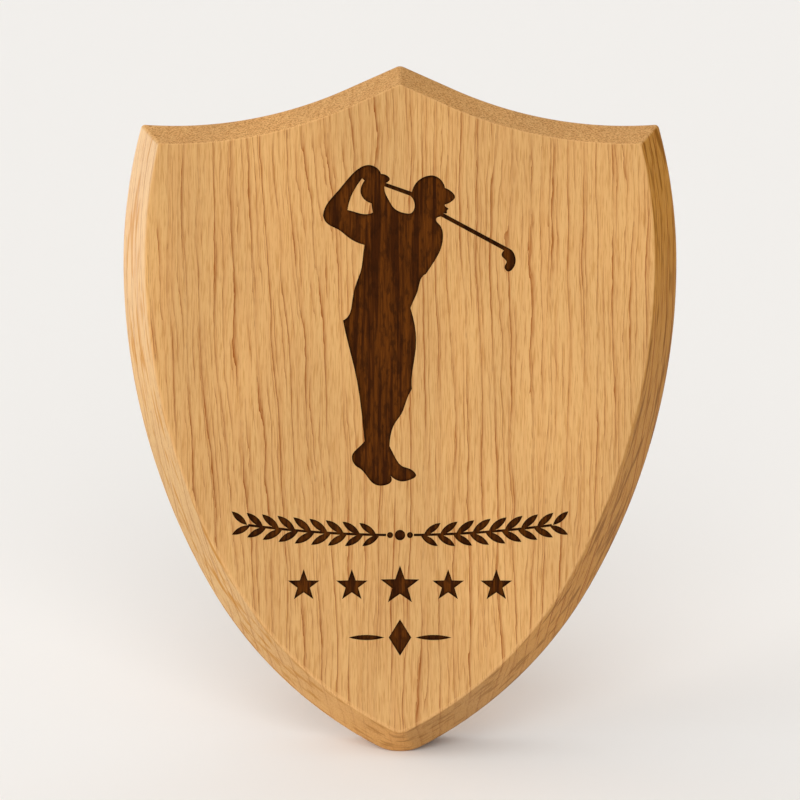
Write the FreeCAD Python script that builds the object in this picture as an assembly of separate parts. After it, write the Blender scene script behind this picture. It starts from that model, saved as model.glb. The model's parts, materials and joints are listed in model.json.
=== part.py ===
import FreeCAD, Part

import math
import os

from FreeCAD import Vector

# Award shield of solid oak. It stands on its own tip, leaning back on a hinged oak strut,
# and can be hung on a wall by a keyhole plate instead.
# Millimetres, +Z up, standing on the plane z = 0. The origin is the middle of the tip's flat.
#
# The board and all that is screwed to its back are drawn in the board's own frame:
# x to the right as seen from the front, y up the face, z out of the face, which is z = 0.
# Heights up the face start where the front of the tip meets the table.

# Stance
lean_angle = 14.0
opening_angle = 22.0

# Board
board_height = 250.0
board_width = 202.0
board_thickness = 20.0
widest_height = 178.6
flank_radius = 237.0
flank_end_height = 60.3
upper_side_radius = 190.0
shoulder_round = 1.6
crest_radius = 153.8
crest_dip_from_middle = 82.2
peak_slope = 24.0
peak_round = 3.0
tip_round = 18.0
tip_flat_width = 4.9

# Bevel round the front of the board, with its width seen square to the face
bevel_depth = 7.0
bevel_side_width = 8.9
bevel_top_width = 7.6
bevel_tip_height = 8.1
face_corner_round = 0.8
face_tip_round = 12.0

# Engraved golfer, drawn on a grid of squares that starts under the soles on the middle line
figure_height = 112.0
figure_depth = 0.8
figure_foot_height = 97.4
figure_grid_squares = 310.0

# Strut
strut_thickness = 9.0
strut_top_width = 22.0
strut_foot_width = 35.0
strut_flare_height = 62.0
strut_arris = 0.8
arch_width = 15.0
arch_height = 8.0
strut_end_below_pin = 4.5

# Strut hinge, folded from brass sheet
hinge_sheet = 1.2
pin_below_hanger = 49.0
pin_off_back = 6.5
pin_radius = 1.5
pin_head_radius = 2.8
pin_head_height = 1.1
ear_nose_radius = 4.6
ear_foot_half_length = 8.5
base_above_pin = 22.0
base_below_pin = 25.0
base_corner_round = 3.0
heel_height = 7.5
heel_top_depth = 2.6
channel_above_pin = 3.5
flange_inner_length = 15.0
flange_outer_length = 24.0
tongue_width = 12.0
tongue_end_below_pin = 39.0
bend_inside_radius = 0.4

# Screws
screw_head_radius = 2.7
screw_shank_radius = 1.5
board_screw_length = 12.0
strut_screw_length = 8.0
hanger_screw_length = 11.0
base_screw_half_pitch = 7.0
base_upper_screws_above_pin = 15.5
base_lower_screws_below_pin = 18.0
channel_upper_screw_below_pin = 12.0

# Keyhole plate, let in flush
hanger_below_peak = 36.0
hanger_width = 16.0
hanger_length = 46.0
hanger_thickness = 1.2
keyhole_radius = 4.5
keyhole_slot_radius = 2.2
keyhole_slot_rise = 9.5
keyhole_below_middle = 3.5
hanger_screw_from_end = 5.0
relief_margin = 1.6
relief_depth = 6.0

# Clearances
pin_clearance = 0.05
side_clearance = 0.3
wrap_clearance = 0.1
stop_clearance = 0.06
seat_clearance = 0.05
rebate_clearance = 0.1
cut_overrun = 5.0

# Values worked out from the sizes above
board_half_width = board_width / 2
hanger_height = board_height - hanger_below_peak
pin_height = hanger_height - pin_below_hanger
back = -board_thickness
shoulder_edge = -bevel_depth
grid_square = figure_height / figure_grid_squares
across = Vector(1, 0, 0)
out_of_face = Vector(0, 0, 1)
up_the_face = Vector(0, 1, 0)
channel_half_inside = strut_top_width / 2 + wrap_clearance
channel_half_outside = channel_half_inside + hinge_sheet
ear_inside = channel_half_outside + side_clearance
ear_outside = ear_inside + hinge_sheet
base_half_width = ear_inside - bend_inside_radius
pin_point = Vector(0, pin_height, back - pin_off_back)

# The table cuts the leaning tip level, so the flat runs from the bevel back to the board's back
flat_depth = (board_thickness - bevel_depth) / math.cos(math.radians(lean_angle))
lean = FreeCAD.Rotation(across, 90 - lean_angle)
tip_front = Vector(0, 0, shoulder_edge)
stand = FreeCAD.Placement(Vector(0, -flat_depth / 2, 0) - lean.multVec(tip_front), lean)


def stood_up(shape):
    """The shape moved from the board's frame to its place on the table."""
    placed = shape.copy()
    placed.Placement = stand.multiply(placed.Placement)
    return placed


def above_table(shape):
    """The shape with everything under the table cut away."""
    reach = board_height + board_width
    table = Part.makeBox(2 * reach, 2 * reach, reach, Vector(-reach, -reach, -reach))
    return shape.cut(table)


def opened(shape):
    """The shape turned about the hinge pin from folded flat to standing."""
    turned = shape.copy()
    turned.rotate(pin_point, across, opening_angle)
    return turned


def behind(x, up, out):
    """A point given by its distance out from the board's back."""
    return Vector(x, up, back - out)


def line(start, end):
    return Part.LineSegment(start, end).toShape()


def arc(centre, radius, start, end):
    """The shorter arc about a centre between two points of its circle."""
    middle = (start - centre) + (end - centre)
    return Part.Arc(start, centre + middle.normalize() * radius, end).toShape()


def face_of(edges):
    return Part.Face(Part.Wire(Part.__sortEdges__(edges)))


def circles_meet(centre_a, radius_a, centre_b, radius_b, side):
    """Where two circles in one plane cross, on the left (+1) or right (-1) of the way from a to b."""
    way = centre_b - centre_a
    apart = way.Length
    along = (apart ** 2 + radius_a ** 2 - radius_b ** 2) / (2 * apart)
    away = math.sqrt(radius_a ** 2 - along ** 2)
    way.normalize()
    left = Vector(-way.y, way.x, 0)
    return centre_a + way * along + left * (side * away)


def shield_wire(z, side_inset, top_inset, tip_height, tip_radius, corner_round, top_round):
    """The shield's outline at one depth, drawn in from the board's outer edge.

    Arcs make it, with a short straight run on each side of the peak."""
    flank_centre = Vector(board_half_width - flank_radius, widest_height, z)
    flank = flank_radius - side_inset
    upper_centre = Vector(board_half_width - upper_side_radius, widest_height, z)
    upper = upper_side_radius - side_inset
    steep = math.radians(peak_slope)
    off_run = Vector(math.sin(steep), math.cos(steep), 0)
    run_end_across = crest_dip_from_middle - crest_radius * off_run.x
    run_top = board_height - peak_round + peak_round / off_run.y
    run_end_height = run_top - run_end_across * math.tan(steep)
    crest_centre = Vector(run_end_across, run_end_height, z) + off_run * crest_radius
    crest = crest_radius + top_inset

    widest = Vector(board_half_width - side_inset, widest_height, z)
    slope = math.asin((widest_height - flank_end_height) / flank_radius)
    flank_way = Vector(math.cos(slope), -math.sin(slope), 0)
    flank_end = flank_centre + flank_way * flank
    tip_centre = Vector(0, tip_height + tip_radius, z)
    off_tip = flank_end - tip_centre
    lower = (off_tip.Length ** 2 - tip_radius ** 2) / (2 * (off_tip.dot(flank_way) - tip_radius))
    lower_centre = flank_end - flank_way * lower
    tip_side = lower_centre + (tip_centre - lower_centre).normalize() * lower

    corner_centre = circles_meet(upper_centre, upper - corner_round, crest_centre, crest + corner_round, -1)
    side_end = upper_centre + (corner_centre - upper_centre).normalize() * upper
    crest_start = crest_centre + (corner_centre - crest_centre).normalize() * crest
    run_end = crest_centre - off_run * crest
    peak_height = run_end.y + run_end.x * math.tan(steep)
    peak_centre = Vector(0, peak_height - top_round / off_run.y, z)
    peak_side = peak_centre + off_run * top_round

    half = [
        arc(lower_centre, lower, tip_side, flank_end),
        arc(flank_centre, flank, flank_end, widest),
        arc(upper_centre, upper, widest, side_end),
        arc(corner_centre, corner_round, side_end, crest_start),
        arc(crest_centre, crest, crest_start, run_end),
        line(run_end, peak_side),
    ]
    other_half = [edge.mirror(Vector(0, 0, 0), across) for edge in half]
    peak = arc(peak_centre, top_round, peak_side, Vector(-peak_side.x, peak_side.y, z))
    tip = arc(tip_centre, tip_radius, Vector(-tip_side.x, tip_side.y, z), tip_side)
    return Part.Wire(Part.__sortEdges__([tip] + half + [peak] + other_half))


# The golfer in outline, as grid squares right of the middle line and up from the soles.
# Each run is one smooth curve, and the runs meet in corners. The face is a plain one.
figure_outline_shares = [
    [(-77, 270), (-73, 281), (-63, 293), (-53, 305), (-42, 316), (-31, 320), (-23, 317), (-19, 311)],
    [(-19, 311), (-14, 310), (-10.5, 307), (-14, 302)],
    [(-14, 302), (12, 293)],
    [(12, 293), (16, 302), (24, 308), (35, 309), (42, 304), (45, 297)],
    [(45, 297), (52, 293), (55, 288), (51, 283), (45, 280.5)],
    [(45, 280.5), (45.5, 278.5), (48.5, 276), (47, 274.5), (47, 273), (43, 272)],
    [(43, 272), (111, 235.5)],
    [
        (111, 235.5), (115.5, 227), (114, 218), (108, 213.5), (104.5, 218), (106.5, 223), (102.5, 228),
        (104, 234.5),
    ],
    [(104, 234.5), (41, 268.5)],
    [(41, 268.5), (36, 266), (39, 261)],
    [(39, 261), (42, 256), (43, 247), (40, 234), (34, 223), (26, 211)],
    [(26, 211), (23, 209), (18, 195), (13, 183), (10.5, 177)],
    [(10.5, 177), (14, 164), (16, 150), (15, 130), (12, 110), (12, 96)],
    [(12, 96), (6, 83), (2, 72), (-6, 60), (-9, 51), (-10.5, 39)],
    [(-10.5, 39), (-5, 28), (2, 19), (12, 15), (16, 9), (11, 5.5), (2, 3.5), (-7, 7), (-9.5, 9.5)],
    [(-9.5, 9.5), (-9, 3), (-16, -0.5), (-26, 1), (-34, 10), (-41, 17)],
    [(-41, 17), (-47, 23), (-48, 29), (-42, 37), (-35.5, 44)],
    [(-35.5, 44), (-37, 59), (-40, 85), (-43, 104), (-50, 134), (-54, 150), (-57, 164.5)],
    [(-57, 164.5), (-51, 170), (-48, 182), (-45, 198), (-39, 215), (-37, 229), (-35.5, 240)],
    [(-35.5, 240), (-47, 244.5), (-53, 248.5), (-61, 255), (-71, 260), (-77, 270)],
]
between_arms_shares = [
    [(-27, 272.5), (-28, 277), (-28.5, 281.5)],
    [(-28.5, 281.5), (-33, 283.5), (-37, 287), (-39.5, 293), (-38.5, 299), (-35.5, 304.5)],
    [(-35.5, 304.5), (-38, 306.5)],
    [(-38, 306.5), (-43, 299.5), (-48, 290.5), (-51, 282), (-52.5, 275)],
    [(-52.5, 275), (-45, 273), (-36, 270.8), (-27, 272.5)],
]
over_shoulder_shares = [
    [(-15.5, 298.5), (10.5, 289)],
    [(10.5, 289), (14, 283.5), (14.5, 277.5), (12.5, 273), (7, 271.5)],
    [(7, 271.5), (2, 272.5), (-5.5, 276.5), (-11.5, 285.5), (-15, 293), (-15.5, 298.5)],
]


def figure_curve(shares, z):
    """A smooth curve through points of the grid, or a line through two."""
    points = [Vector(right * grid_square, figure_foot_height + up * grid_square, z) for right, up in shares]
    if len(points) == 2:
        return line(points[0], points[1])
    spline = Part.BSplineCurve()
    spline.interpolate(points)
    return spline.toShape()


def figure_wires(z):
    """The golfer's outline at one depth, and then its two openings."""
    closed_runs = (figure_outline_shares, between_arms_shares, over_shoulder_shares)
    edges = [[figure_curve(run, z) for run in runs] for runs in closed_runs]
    return [Part.Wire(Part.__sortEdges__(loop)) for loop in edges]


def engraved_figure():
    """The body that the engraver takes out of the face."""
    outlines = zip(figure_wires(-figure_depth), figure_wires(cut_overrun))
    outline, between_arms, over_shoulder = [Part.makeLoft([low, high], True, True) for low, high in outlines]
    return outline.cut([between_arms, over_shoulder])


def rod(point, direction, radius, length):
    return Part.makeCylinder(radius, length, point, direction)


def wood_screw(head, direction, length, grown=0):
    """A plain countersunk screw from its head's face down, or grown all over as the hole it fills."""
    profile = [
        Vector(0, 0, 0),
        Vector(screw_head_radius + grown, 0, 0),
        Vector(screw_shank_radius + grown, 0, screw_head_radius - screw_shank_radius),
        Vector(screw_shank_radius + grown, 0, length + grown),
        Vector(0, 0, length + grown),
    ]
    section = Part.Face(Part.makePolygon(profile + [profile[0]]))
    screw = section.revolve(Vector(0, 0, 0), out_of_face, 360)
    turn = FreeCAD.Rotation(out_of_face, direction)
    screw.Placement = FreeCAD.Placement(head, turn)
    return screw


def screws(heads, length, grown=0):
    """Screws driven into the wood, that is towards the front of the shield."""
    return [wood_screw(head, out_of_face, length, grown) for head in heads]


def rounded_plate(half_width, top, bottom, corner, out_from, out_to):
    """A flat plate parallel to the board's back, with round corners."""
    plate = Part.makeBox(2 * half_width, top - bottom, out_to - out_from, behind(-half_width, bottom, out_to))
    uprights = [edge for edge in plate.Edges if abs(edge.tangentAt(edge.FirstParameter).z) > 0.5]
    return plate.makeFillet(corner, uprights)


def long_round_plate(radius, top, bottom, out_from, out_to):
    """A plate with half-round ends, or the pocket for it: top and bottom are the centres of its ends."""
    direction = Vector(0, 0, -1)
    depth = out_to - out_from
    ends = [rod(behind(0, end, out_from), direction, radius, depth) for end in (top, bottom)]
    middle = Part.makeBox(2 * radius, top - bottom, depth, behind(-radius, bottom, out_to))
    return middle.fuse(ends).removeSplitter()


base_screw_heads = [
    behind(side * base_screw_half_pitch, pin_height + up, hinge_sheet)
    for up in (base_upper_screws_above_pin, -base_lower_screws_below_pin)
    for side in (-1, 1)
]
strut_outer_face = pin_off_back + strut_thickness / 2
channel_outer_face = strut_outer_face + wrap_clearance + hinge_sheet
tongue_screw_below_pin = tongue_end_below_pin - tongue_width / 2
channel_screw_heads = [
    behind(0, pin_height - below, channel_outer_face)
    for below in (channel_upper_screw_below_pin, tongue_screw_below_pin)
]
hanger_screw_reach = hanger_length / 2 - hanger_screw_from_end
hanger_screw_heads = [behind(0, hanger_height + end * hanger_screw_reach, 0) for end in (1, -1)]


def keyhole(radius, slot_radius, out_from, out_to):
    """The keyhole as a solid: a round hole with a narrow slot rising from it."""
    centre = hanger_height - keyhole_below_middle
    hole = rod(behind(0, centre, out_from), Vector(0, 0, -1), radius, out_to - out_from)
    slot = long_round_plate(slot_radius, centre + keyhole_slot_rise, centre, out_from, out_to)
    return hole.fuse(slot).removeSplitter()


def make_shield_board():
    # the round tip reaches a little under the table, which then cuts its flat
    under = tip_round - math.sqrt(tip_round ** 2 - (tip_flat_width / 2) ** 2)
    at_back = shield_wire(back, 0, 0, -under, tip_round, shoulder_round, peak_round)
    at_shoulder = shield_wire(shoulder_edge, 0, 0, -under, tip_round, shoulder_round, peak_round)
    at_face = shield_wire(
        0, bevel_side_width, bevel_top_width, bevel_tip_height, face_tip_round,
        face_corner_round, face_corner_round,
    )
    board = Part.makeLoft([at_back, at_shoulder], True, True)
    board = board.fuse(Part.makeLoft([at_shoulder, at_face], True, True)).removeSplitter()
    board = board.cut(engraved_figure())
    hanger_end = hanger_length / 2 - hanger_width / 2
    rebate = long_round_plate(
        hanger_width / 2 + rebate_clearance, hanger_height + hanger_end, hanger_height - hanger_end,
        -hanger_thickness, cut_overrun,
    )
    relief = keyhole(
        keyhole_radius + relief_margin, keyhole_radius + relief_margin,
        -hanger_thickness - relief_depth, cut_overrun,
    )
    pilots = screws(base_screw_heads, board_screw_length, seat_clearance)
    pilots += screws(hanger_screw_heads, hanger_screw_length, seat_clearance)
    board = board.cut([rebate, relief] + pilots)
    return above_table(stood_up(board))


def folded_section(up, half_inside, web_outer, open_side):
    """A U of sheet across the shield at one height, with its bends, open away from its web."""
    way = math.copysign(1, open_side - web_outer)
    web_inner = web_outer + way * hinge_sheet
    big = bend_inside_radius + hinge_sheet
    small = bend_inside_radius
    edges = []
    for side in (1, -1):
        wide = side * (half_inside + hinge_sheet)
        narrow = side * half_inside
        big_centre = behind(wide - side * big, up, web_outer + way * big)
        small_centre = behind(narrow - side * small, up, web_inner + way * small)
        big_start = behind(wide - side * big, up, web_outer)
        big_end = behind(wide, up, web_outer + way * big)
        small_start = behind(narrow, up, web_inner + way * small)
        small_end = behind(narrow - side * small, up, web_inner)
        edges += [
            line(behind(0, up, web_outer), big_start),
            arc(big_centre, big, big_start, big_end),
            line(big_end, behind(wide, up, open_side)),
            line(behind(wide, up, open_side), behind(narrow, up, open_side)),
            line(behind(narrow, up, open_side), small_start),
            arc(small_centre, small, small_start, small_end),
            line(small_end, behind(0, up, web_inner)),
        ]
    return face_of(edges)


def make_hinge_base():
    """The plate on the board's back, with an ear folded up on each side to carry the pin."""
    top = pin_height + base_above_pin
    bottom = pin_height - base_below_pin
    base = rounded_plate(base_half_width, top, bottom, base_corner_round, 0, hinge_sheet)
    foot = ear_foot_half_length
    nose = pin_off_back + ear_nose_radius
    x = -ear_outside
    low = behind(x, pin_height - ear_nose_radius, pin_off_back)
    tip = behind(x, pin_height, nose)
    high = behind(x, pin_height + ear_nose_radius, pin_off_back)
    middle = behind(x, pin_height, pin_off_back)
    side = face_of([
        line(behind(x, pin_height - foot, 0), behind(x, pin_height - foot, hinge_sheet)),
        line(behind(x, pin_height - foot, hinge_sheet), low),
        arc(middle, ear_nose_radius, low, tip),
        arc(middle, ear_nose_radius, tip, high),
        line(high, behind(x, pin_height + foot, hinge_sheet)),
        line(behind(x, pin_height + foot, hinge_sheet), behind(x, pin_height + foot, 0)),
        line(behind(x, pin_height + foot, 0), behind(x, pin_height - foot, 0)),
    ])
    ears = folded_section(pin_height - foot, ear_inside, 0, nose).extrude(up_the_face * (2 * foot))
    ears = ears.common(side.extrude(across * (2 * ear_outside)))
    base = base.fuse(ears).removeSplitter()
    pin_hole = rod(
        Vector(-2 * ear_outside, pin_point.y, pin_point.z), across,
        pin_radius + pin_clearance, 4 * ear_outside,
    )
    holes = screws(base_screw_heads, board_screw_length, seat_clearance)
    return stood_up(base.cut([pin_hole] + holes))


def make_hinge_pin():
    """A rivet through both ears, with a flat head at each end."""
    shank = rod(pin_point - across * ear_outside, across, pin_radius, 2 * ear_outside)
    heads = [
        rod(pin_point + across * (side * ear_outside), across * side, pin_head_radius, pin_head_height)
        for side in (1, -1)
    ]
    return stood_up(shank.fuse(heads).removeSplitter())


def channel_side(x):
    """The channel seen from the side. Its heel is cut to lie flat on the base plate when open."""
    reach = pin_off_back - hinge_sheet - stop_clearance
    swing = math.radians(opening_angle)
    inner_edge = strut_thickness / 2
    heel_start = (reach - inner_edge * math.cos(swing)) / math.sin(swing)
    heel_end = (reach - heel_height * math.sin(swing)) / math.cos(swing)
    web_out = channel_outer_face - pin_off_back

    def at(up, out):
        return behind(x, pin_height + up, pin_off_back + out)

    return Part.Face(Part.makePolygon([
        at(-flange_inner_length, -inner_edge),
        at(heel_start, -inner_edge),
        at(heel_height, -heel_end),
        at(heel_height, heel_top_depth),
        at(channel_above_pin, web_out),
        at(-tongue_end_below_pin, web_out),
        at(-tongue_end_below_pin, web_out - hinge_sheet),
        at(-flange_outer_length, web_out - hinge_sheet),
        at(-flange_inner_length, -inner_edge),
    ]))


def make_strut_channel():
    """The strut's half of the hinge: a channel that wraps its top, with a tongue down its back."""
    bottom = pin_height - tongue_end_below_pin
    open_side = pin_off_back - strut_thickness / 2
    section = folded_section(bottom, channel_half_inside, channel_outer_face, open_side)
    channel = section.extrude(up_the_face * (tongue_end_below_pin + heel_height))
    side = channel_side(-channel_half_outside).extrude(across * (2 * channel_half_outside))
    half_tongue = tongue_width / 2
    tongue_centre = pin_height - tongue_screw_below_pin
    slant_start = pin_height - flange_outer_length
    out = channel_outer_face + cut_overrun
    outline = face_of([
        line(behind(-channel_half_outside, pin_height + heel_height, out),
             behind(channel_half_outside, pin_height + heel_height, out)),
        line(behind(channel_half_outside, pin_height + heel_height, out),
             behind(channel_half_outside, slant_start, out)),
        line(behind(channel_half_outside, slant_start, out), behind(half_tongue, tongue_centre, out)),
        arc(behind(0, tongue_centre, out), half_tongue,
            behind(half_tongue, tongue_centre, out), behind(0, tongue_centre - half_tongue, out)),
        arc(behind(0, tongue_centre, out), half_tongue,
            behind(0, tongue_centre - half_tongue, out), behind(-half_tongue, tongue_centre, out)),
        line(behind(-half_tongue, tongue_centre, out), behind(-channel_half_outside, slant_start, out)),
        line(behind(-channel_half_outside, slant_start, out),
             behind(-channel_half_outside, pin_height + heel_height, out)),
    ])
    channel = channel.common(side).common(outline.extrude(out_of_face * out))
    pin_hole = rod(
        Vector(-2 * ear_outside, pin_point.y, pin_point.z), across,
        pin_radius + pin_clearance, 4 * ear_outside,
    )
    holes = screws(channel_screw_heads, strut_screw_length, seat_clearance)
    return stood_up(opened(channel.cut([pin_hole] + holes)))


def strut_length():
    """From the pin down the middle of the strut to the table, standing open."""
    pin_above_table = stand.multVec(pin_point).z
    return pin_above_table / math.cos(math.radians(opening_angle - lean_angle))


def make_strut():
    """The oak leg: parallel at the top, flared below, with an arch between its two toes."""
    top = pin_height - strut_end_below_pin
    foot = pin_height - strut_length()
    flare_top = foot + strut_flare_height
    half_top = strut_top_width / 2
    half_foot = strut_foot_width / 2
    spread = half_foot - half_top
    flare_radius = (spread ** 2 + strut_flare_height ** 2) / (2 * spread)
    inner = pin_off_back - strut_thickness / 2
    below = foot - cut_overrun
    edges = [line(behind(-half_top, top, inner), behind(half_top, top, inner))]
    for side in (1, -1):
        centre = behind(side * (half_top + flare_radius), flare_top, inner)
        knee = behind(side * half_top, flare_top, inner)
        toe = behind(side * half_foot, foot, inner)
        edges += [
            line(behind(side * half_top, top, inner), knee),
            arc(centre, flare_radius, knee, toe),
            line(toe, behind(side * half_foot, below, inner)),
        ]
    edges.append(line(behind(-half_foot, below, inner), behind(half_foot, below, inner)))
    strut = face_of(edges).extrude(Vector(0, 0, -strut_thickness))
    long_edges = [
        edge for edge in strut.Edges
        if abs(edge.tangentAt(edge.FirstParameter).z) < 0.5
        and edge.CenterOfMass.y < top - strut_arris
        and edge.CenterOfMass.y > below + strut_arris
    ]
    strut = strut.makeChamfer(strut_arris, long_edges)
    arch_radius = ((arch_width / 2) ** 2 + arch_height ** 2) / (2 * arch_height)
    arch = rod(
        behind(0, foot + arch_height - arch_radius, inner - cut_overrun), Vector(0, 0, -1),
        arch_radius, strut_thickness + 2 * cut_overrun,
    )
    pilots = screws(channel_screw_heads, strut_screw_length, seat_clearance)
    strut = strut.cut([arch] + pilots)
    return above_table(stood_up(opened(strut)))


def make_keyhole_hanger():
    hanger_end = hanger_length / 2 - hanger_width / 2
    plate = long_round_plate(
        hanger_width / 2, hanger_height + hanger_end, hanger_height - hanger_end, -hanger_thickness, 0,
    )
    hole = keyhole(keyhole_radius, keyhole_slot_radius, -hanger_thickness - cut_overrun, cut_overrun)
    holes = screws(hanger_screw_heads, hanger_screw_length, seat_clearance)
    return stood_up(plate.cut([hole] + holes))


nodes = {
    "shield_board": make_shield_board(),
    "hinge_base": make_hinge_base(),
    "hinge_base_screws": stood_up(Part.makeCompound(screws(base_screw_heads, board_screw_length))),
    "hinge_pin": make_hinge_pin(),
    "strut_channel": make_strut_channel(),
    "strut_channel_screws": stood_up(opened(
        Part.makeCompound(screws(channel_screw_heads, strut_screw_length)))),
    "strut": make_strut(),
    "keyhole_hanger": make_keyhole_hanger(),
    "hanger_screws": stood_up(Part.makeCompound(screws(hanger_screw_heads, hanger_screw_length))),
}

os.makedirs("parts", exist_ok=True)
for name, shape in nodes.items():
    shape.exportStep("parts/" + name + ".step")
    box = shape.BoundBox
    print(name, len(shape.Solids), "solids", round(shape.Volume), "mm3, valid", shape.isValid(),
          "x", round(box.XMin, 1), round(box.XMax, 1), "y", round(box.YMin, 1), round(box.YMax, 1),
          "z", round(box.ZMin, 2), round(box.ZMax, 1))
print("pin at", stand.multVec(pin_point))
print("strut length", round(strut_length(), 2), "folded foot height", round(pin_height - strut_length(), 2))
keyhole_point = behind(0, hanger_height - keyhole_below_middle, 0)
print("keyhole at", stand.multVec(keyhole_point))
print("out of the back", lean.multVec(Vector(0, 0, -1)))
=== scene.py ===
import json
import math

import bmesh
import bpy
from mathutils import Matrix, Vector

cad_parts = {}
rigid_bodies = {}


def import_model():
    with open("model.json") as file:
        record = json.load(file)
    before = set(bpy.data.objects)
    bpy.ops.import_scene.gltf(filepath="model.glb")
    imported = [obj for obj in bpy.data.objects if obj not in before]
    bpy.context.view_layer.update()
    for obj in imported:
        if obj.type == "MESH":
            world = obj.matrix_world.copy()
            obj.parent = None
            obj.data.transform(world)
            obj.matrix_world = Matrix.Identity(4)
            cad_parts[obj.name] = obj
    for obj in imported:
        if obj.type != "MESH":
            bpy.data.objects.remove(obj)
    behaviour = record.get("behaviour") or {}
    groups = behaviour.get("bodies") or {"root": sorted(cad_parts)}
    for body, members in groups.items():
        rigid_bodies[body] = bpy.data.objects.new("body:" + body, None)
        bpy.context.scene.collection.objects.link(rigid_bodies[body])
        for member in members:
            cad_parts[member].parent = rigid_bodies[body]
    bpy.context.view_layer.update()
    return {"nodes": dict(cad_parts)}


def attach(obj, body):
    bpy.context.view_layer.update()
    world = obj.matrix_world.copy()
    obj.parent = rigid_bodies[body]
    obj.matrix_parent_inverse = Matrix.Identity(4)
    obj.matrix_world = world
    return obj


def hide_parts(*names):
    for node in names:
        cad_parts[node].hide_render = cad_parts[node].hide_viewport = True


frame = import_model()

# Award shield of oak, seen from the front. The board is modelled lying flat in millimetres, with x to
# the right, y up the face and z out of the face, and is then stood up on its tip.

# Sizes in millimetres, as the solid model has them
LEAN = math.radians(14.0)
OPENING = math.radians(22.0)
BOARD_HEIGHT = 250.0
HALF_WIDTH = 101.0
THICKNESS = 20.0
WIDEST = 178.6
FLANK = 237.0
FLANK_END = 60.3
UPPER_SIDE = 190.0
CREST = 153.8
CREST_DIP = 82.2
PEAK_SLOPE = math.radians(24.0)
PEAK_ROUND = 3.0
TIP_ROUND = 18.0
TIP_FLAT = 4.9
SHOULDER_ROUND = 1.6
BEVEL_DEPTH = 7.0
BEVEL_SIDE = 8.9
BEVEL_TOP = 7.6
FACE_TIP_HEIGHT = 8.1
PIN_HEIGHT = 165.0
PIN_OFF_BACK = 6.5
SHEET = 1.2
EAR_OUTSIDE = 13.8
CHANNEL_OUTSIDE = 12.3
HANGER_HEIGHT = 214.0
HANGER_HALF_WIDTH = 8.1
HANGER_HALF_RUN = 15.0
HOLLOW_HALF_WIDTH = 6.1
HOLLOW_ABOVE = 6.0
HOLLOW_BELOW = 3.5
HOLLOW_DEPTH = 7.2
GOLFER_DEPTH = 0.8

# Sizes that the solid model leaves out or has plainer: first the rounding of the board's edges
BACK_RIM_ROUND = 0.8
SHOULDER_EASE = 0.9
FACE_SIDE_EASE = 0.9
FACE_TOP_EASE = 0.35
FACE_PEAK_ROUND = 1.0
FACE_TIP_ROUND = 4.5
FACE_EASE_DEPTH = 0.56

# Ornament below the golfer: a laurel, stars, and a lozenge between two rules
ORNAMENT_DEPTH = 0.7
LEAF_DEPTH = 0.72
LAUREL_HEIGHT = 79.3
STEM_RADIUS = 420.0
STEM_START = 5.0
STEM_LENGTH = 50.0
STEM_WIDTH = 0.9
BERRIES = ((0, 1.9), (-3.6, 1.1), (3.6, 1.1))
LEAF_LEAN = 34
LEAVES_ON_A_SIDE = 9
LEAF_PITCH = 5.85
UPPER_LEAF_START = 8.6
LOWER_LEAF_START = 7.4
LONGEST_LEAF = 8.4
LEAF_SLIMNESS = 0.31
STARS_HEIGHT = 61.0
STAR_PITCH = 17.4
STAR_SIZE = 6.0
MIDDLE_STAR_SIZE = 7.4
STAR_HOLLOW = 0.4
LOZENGE_HEIGHT = 42.3
LOZENGE_SIZE = 6.6
LOZENGE_SLIMNESS = 0.62
RULE_START = 5.6
RULE_LENGTH = 13.0
RULE_WIDTH = 1.9

# Easing of the strut's and the brass's edges, in metres, then screws and rivet in millimetres
STRUT_EASE = 0.00022
BRASS_EASE = 0.0001
SCREW_HEAD_RADIUS = 2.6
SCREW_HEAD_DEPTH = 1.2
SHANK_RADIUS = 1.45
SCREW_POINT = 1.75
PILOT_GAP = 0.05
SLOT_LENGTH = 6.4
SLOT_WIDTH = 0.72
SLOT_DEPTH = 0.75
RIVET_RADIUS = 1.5
RIVET_HEAD_RADIUS = 2.8
RIVET_HEAD_HEIGHT = 1.1
RIVET_DOME = 0.85

# Light and camera: the way towards the key light, its breadth, and the strength of each light
KEY_LIGHT = Vector((0.0, -0.85, 0.53))
KEY_BREADTH = math.radians(60)
KEY_STRENGTH = 1.88
LEFT_STRENGTH = 4.0
BEHIND_STRENGTH = 0.80
ABOVE_STRENGTH = 1.1
BACKDROP_TONE = 0.89
CAMERA_HEIGHT = 128.1
CAMERA_DISTANCE = 700
CAMERA_LENS = 87.2

flat_depth = (THICKNESS - BEVEL_DEPTH) / math.cos(LEAN)
foot = Vector((0, -flat_depth / 2 - BEVEL_DEPTH * math.cos(LEAN), BEVEL_DEPTH * math.sin(LEAN)))
stand = Matrix.Scale(0.001, 4) @ Matrix.Translation(foot) @ Matrix.Rotation(math.pi / 2 - LEAN, 4, "X")
pin = Vector((0, PIN_HEIGHT, -THICKNESS - PIN_OFF_BACK))
opened = Matrix.Translation(pin) @ Matrix.Rotation(OPENING, 4, "X") @ Matrix.Translation(-pin)
facing_back = Matrix.Rotation(math.pi, 4, "X")


# Nodes of the materials


def shade(tree, kind, settings=None, **sockets):
    """Adds a node. A socket's value is a number, a colour or another node's output."""
    made = tree.nodes.new(kind)
    for name, value in (settings or {}).items():
        setattr(made, name, value)
    for name, value in sockets.items():
        key = int(name[1:]) if name[0] == "i" and name[1:].isdigit() else name.replace("_", " ")
        socket = made.inputs[key]
        if isinstance(value, bpy.types.NodeSocket):
            tree.links.new(value, socket)
        else:
            socket.default_value = value
    return made


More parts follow.
